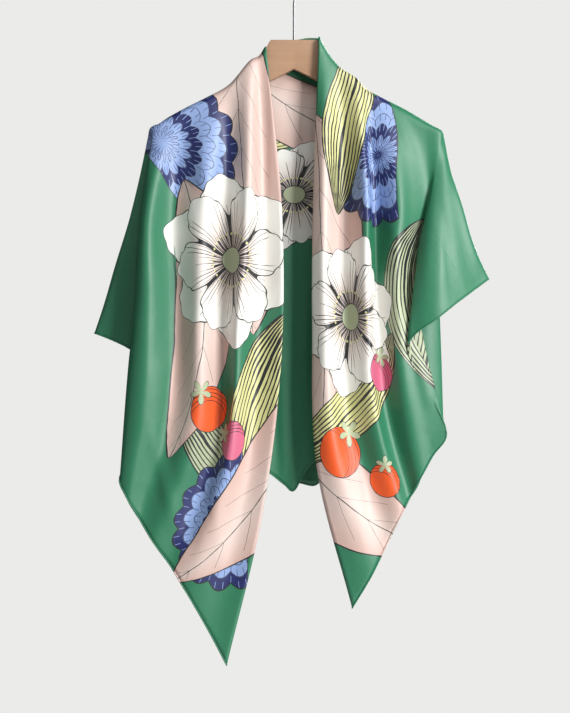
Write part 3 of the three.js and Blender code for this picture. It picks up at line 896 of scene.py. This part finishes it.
def silkMaterial(name):
    material, tree, surface = newMaterial(name, Specular_IOR_Level=silk["gloss"])
    flatMap = Wire(tree, None).node("ShaderNodeUVMap", {"uv_map": "silkMap"})
    line = silk["line"]

    def vector(operation, a, b):
        return a.node("ShaderNodeVectorMath", {"operation": operation}, i0=a, i1=b)

    def scaled(a, factor):
        return a.node("ShaderNodeVectorMath", {"operation": "SCALE"}, Vector=a, Scale=factor)

    def mixed(base, colour, mask):
        return mask.between(base, silk[colour] if isinstance(colour, str) else colour)

    shake = flatMap.noise(13.0, 2.0, 1, "2D")
    drawn = vector("ADD", flatMap, scaled(vector("SUBTRACT", shake, (.5, .5, .5)), silk["wobble"]))
    grit = flatMap.noise(60.0, 1.0, 0, "2D")
    inkWidth = (grit * .9 + .55) * line

    def axes(row):
        place = drawn.node("ShaderNodeMapping", {"vector_type": "TEXTURE"}, Vector=drawn,
                           Location=(row["u"], row["v"], 0), Rotation=(0, 0, math.radians(row["turn"])))
        return place, place.axis(0), place.axis(1)

    def fract(value, pitch):
        return (value / pitch).maths("FRACT")

    def leaf(base, row):
        place, x, y = axes(row)
        t = x / row["long"]
        half = ((1 - t) * t * 4).maths("MAXIMUM").maths("POWER", .8) * row["wide"]
        off = (y - t * x * row["bend"]).maths("ABSOLUTE")
        room = half - off
        base = mixed(base, "ink", (room > inkWidth * -1) * (half > line))
        body = room > inkWidth
        if row["lines"] == "veins":
            veins = (fract(x - off * 1.6, .055) * .055 < inkWidth * .8) * (room > half * .3)
            veins = veins.maths("MAXIMUM", off < inkWidth * .6)
            shade = mixed(silk[row["colour"]], "cream", (room / half.maths("MAXIMUM", .002)) * .35)
        else:
            bands = fract(off / half.maths("MAXIMUM", .002), .17)
            weight = ((t - .5).maths("ABSOLUTE") * 1.1 + .22) * (grit * .6 + .7)
            veins = bands < weight
            shade = silk[row["colour"]]
        base = mixed(base, shade, body)
        return mixed(base, "ink", veins * body)

    def blossom(base, row):
        place, x, y = axes(row)
        reach = place.node("ShaderNodeVectorMath", {"operation": "LENGTH"}, 1, i0=place)
        around = y.maths("ARCTAN2", x) * (row["petals"] / (2 * math.pi)) + 20
        arc = reach * (2 * math.pi / row["petals"])
        for long, phase in ((row["long"], .5), (row["long"] * .84, 0)):
            across = ((around + phase).maths("FRACT") - .5).maths("ABSOLUTE")
            past = ((reach - long * .45) / (long * .55)).maths("MAXIMUM").maths("POWER", 3)
            room = ((1 - past) * .49 - across) * arc + (across * 38).maths("SINE") * .0015
            base = mixed(base, "ink", room > inkWidth * -1)
            body = room > inkWidth
            base = mixed(base, mixed(silk["blush"], "cream", reach / long + .2), body)
            hatch = fract(across + grit * .02, .083) * .083 * arc < inkWidth * .8
            spread = (across * 61).maths("SINE") * .022 + long * .62
            base = mixed(base, "ink", hatch * body * (reach < spread))
        stamens = (around * 5).maths("FRACT") < .3
        base = mixed(base, "ink", stamens * (reach < row["long"] * .30))
        beside = ((around * 5 + .65).maths("FRACT") - .5).maths("ABSOLUTE") * arc * .2
        beyond = (reach - row["long"] * .30).maths("ABSOLUTE")
        base = mixed(base, "olive", beside + beyond < .0021)
        base = mixed(base, "ink", reach < inkWidth + row["long"] * .15)
        return mixed(base, "sage", reach < row["long"] * .15)

    def fruit(base, row):
        place, x, y = axes(row)
        reach = place.node("ShaderNodeVectorMath", {"operation": "LENGTH"}, 1, i0=place)
        radius = row["radius"]
        crown = (y.maths("ARCTAN2", x - radius * .95) * 2.5).maths("COSINE").maths("ABSOLUTE") * radius * .55
        tuft = ((x - radius * .95) * (x - radius * .95) + y * y).maths("SQRT")
        base = mixed(base, "ink", reach < inkWidth + radius)
        disc = reach < radius
        base = mixed(base, row["colour"], disc)
        far = ((x + radius * .5) * (x + radius * .5) + (y - radius * .4) * (y - radius * .4)).maths("SQRT")
        arcs = fract(far, radius * .17) * (radius * .17) < inkWidth * .8
        base = mixed(base, "ink", arcs * disc * (far > radius * 1.02))
        base = mixed(base, "ink", tuft < crown + inkWidth)
        return mixed(base, "sage", tuft < crown)

    def shell(base, row):
        place, x, y = axes(row)
        reach = place.node("ShaderNodeVectorMath", {"operation": "LENGTH"}, 1, i0=place)
        around = y.maths("ARCTAN2", x)
        scallop = (around * 8).maths("SINE").maths("ABSOLUTE")
        rim = row["radius"] - reach + scallop * .010
        upper = y > -.3 * row["radius"]
        base = mixed(base, "ink", (rim > inkWidth * -1) * upper)
        body = (rim > inkWidth) * (y > inkWidth - .3 * row["radius"])
        ring = rim / row["ring"]
        dark = (ring / 3).maths("FRACT") < .33
        base = mixed(base, mixed(silk["periwinkle"], "navy", dark), body)
        rings = ring.maths("FRACT") * row["ring"] < inkWidth
        ribs = fract(around, math.pi / 24) * (math.pi / 24) * reach < inkWidth * .7
        ribs = ribs * (ring.maths("FRACT") < .62)
        base = mixed(base, "ink", rings * body)
        return mixed(base, mixed(silk["navy"], "periwinkle", dark), ribs * body)

    colour = silk["emerald"]
    for row in leaves[::2]:
        colour = leaf(colour, row)
    for row in shells:
        colour = shell(colour, row)
    for row in leaves[1::2]:
        colour = leaf(colour, row)
    for row in blossoms:
        colour = blossom(colour, row)
    for row in fruits:
        colour = fruit(colour, row)
    tree.links.new(colour.socket, surface.inputs["Base Color"])

    pitch, weave = silk["twill"]
    along = flatMap.axis(0) + flatMap.axis(1)
    scale, depth = silk["crumple"]
    crumple = flatMap.noise(scale, 3.0, 0, "2D")
    height = (along * (2 * math.pi / pitch)).maths("SINE") * weave + crumple * depth
    halfWidth, depth = silk["press"]
    for row in presses:
        x, y = (axis.maths("ABSOLUTE") for axis in axes(row)[1:])
        line = (1 - y / halfWidth).maths("MAXIMUM") * (1 - x / (row["long"] / 2)).maths("MAXIMUM")
        height = height - line * depth
    tree.links.new(height.bump().socket, surface.inputs["Normal"])
    least, more = silk["roughness"]
    tree.links.new((crumple * more + least).socket, surface.inputs["Roughness"])
    print(name, len(tree.nodes), "nodes")
    return material


def paleReverse(front, name):
    # the ink comes through the twill a little paler
    material = front.copy()
    material.name = name
    tree = material.node_tree
    surface = tree.nodes["Principled BSDF"]
    colour = Wire(tree, surface.inputs["Base Color"].links[0].from_socket)
    pale = colour.node("ShaderNodeMix", {"data_type": "RGBA"}, 2, i0=silk["fade"], i6=colour,
                       i7=silk["fadeTo"])
    tree.links.new(pale.socket, surface.inputs["Base Color"])
    return material


printedSilk = silkMaterial("printedSilk")
silkReverse = paleReverse(printedSilk, "silkReverse")
for obj in (cloth, rolledHem):
    obj.data.materials.append(printedSilk)
cloth.data.materials.append(silkReverse)


wood = {"pale": (.40, .24, .145, 1), "dark": (.31, .175, .10, 1), "roughness": (.40, .16), "grain": .00006}
steel = {"colour": (.30, .305, .31, 1), "worn": (.20, .20, .205, 1), "roughness": (.24, .18)}
plaster = {"colour": (.80, .80, .79, 1), "shade": (.76, .76, .75, 1)}


def woodMaterial():
    material, tree, surface = newMaterial("lightWood", Specular_IOR_Level=.45)
    place = Wire(tree, None).node("ShaderNodeTexCoord", outlet=3)

    def streaks(stretch, scale, detail):
        long = place.node("ShaderNodeMapping", Vector=place, Scale=stretch, Rotation=(0, .06, 0))
        return long.noise(scale, detail)

    rings = streaks((1, 6, 14), 14.0, 3.0)  # growth rings run along the arms
    pores = streaks((1, 8, 30), 90.0, 2.0)
    share = (rings * 1.5 - .35).maths("MAXIMUM") * .75 + pores * .3
    tree.links.new(share.between(wood["pale"], wood["dark"]).socket, surface.inputs["Base Color"])
    least, more = wood["roughness"]
    tree.links.new((rings * more + least).socket, surface.inputs["Roughness"])
    tree.links.new(((pores + rings) * wood["grain"]).bump().socket, surface.inputs["Normal"])
    return material


def steelMaterial():
    material, tree, surface = newMaterial("steelRod", Metallic=1.0)
    place = Wire(tree, None).node("ShaderNodeTexCoord", outlet=3)
    drawnOut = place.node("ShaderNodeMapping", Vector=place, Scale=(40, 40, 2))
    marks = drawnOut.noise(18.0, 3.0)
    tone = place.noise(60.0, 2.0).between(steel["colour"], steel["worn"])
    tree.links.new(tone.socket, surface.inputs["Base Color"])
    least, more = steel["roughness"]
    tree.links.new((marks * more + least).socket, surface.inputs["Roughness"])
    return material


def floorMaterial():
    material, tree, surface = newMaterial("paleFloor", Roughness=.8)
    place = Wire(tree, None).node("ShaderNodeTexCoord", outlet=3)
    tone = place.noise(3.0, 4.0).between(plaster["colour"], plaster["shade"])
    tree.links.new(tone.socket, surface.inputs["Base Color"])
    return material


hangerWood.data.materials.append(woodMaterial())
hook.data.materials.append(steelMaterial())

for obj in (cloth, rolledHem, hangerWood, hook):
    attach(obj, "root")
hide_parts("front_left", "front_right", "side_left", "side_right", "back_outer", "back_inner",
            "inner_side_right")
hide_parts("hanger_body")
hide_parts("hanger_hook")

# Studio: a tall soft window light from the right front, a weaker one from the left, and pale walls
studio = {
    "lights": {  # place, width, height and watts
        "keyLight": ((1.85, -1.9, .05), 1.0, 1.9, 112),
        "fillLight": ((-1.9, -1.6, -.1), 1.5, 1.8, 5),
        "topLight": ((.1, -1.5, 1.2), 1.2, 1.0, 16),
        "backLight": ((1.1, 2.1, .4), 1.4, 1.4, 50),
    },
    "aim": (0, 0, -.55),
    "ambient": .08,
    "wall": (.83, .83, .815),
    "floorRadius": 1.1,
    "floorZ": -1.3,
}
for name, (spot, wide, high, watts) in studio["lights"].items():
    light = bpy.data.objects.new(name, bpy.data.lights.new(name, "AREA"))
    light.data.energy = watts
    light.data.shape = "RECTANGLE"
    light.data.size = wide
    light.data.size_y = high
    light.location = spot
    light.rotation_euler = (Vector(studio["aim"]) - Vector(spot)).to_track_quat("-Z", "Y").to_euler()
    bpy.context.collection.objects.link(light)

world = bpy.data.worlds.new("studio")
bpy.context.scene.world = world
world.use_nodes = True
sky = world.node_tree
seen = sky.nodes.new("ShaderNodeLightPath")
wall = sky.nodes["Background"]
wall.inputs["Color"].default_value = (*studio["wall"], 1)
level = sky.nodes.new("ShaderNodeMix")
sky.links.new(seen.outputs["Is Camera Ray"], level.inputs[0])
level.inputs[2].default_value = studio["ambient"]
level.inputs[3].default_value = 1
sky.links.new(level.outputs[0], wall.inputs["Strength"])
bpy.context.scene.view_settings.view_transform = "Standard"

bpy.ops.mesh.primitive_circle_add(vertices=64, radius=studio["floorRadius"], fill_type="NGON",
                                  location=(0, 0, studio["floorZ"]))
floor = bpy.context.object
floor.name = "floor"
bpy.ops.object.transform_apply(location=True, rotation=True, scale=True)
floor.data.materials.append(floorMaterial())
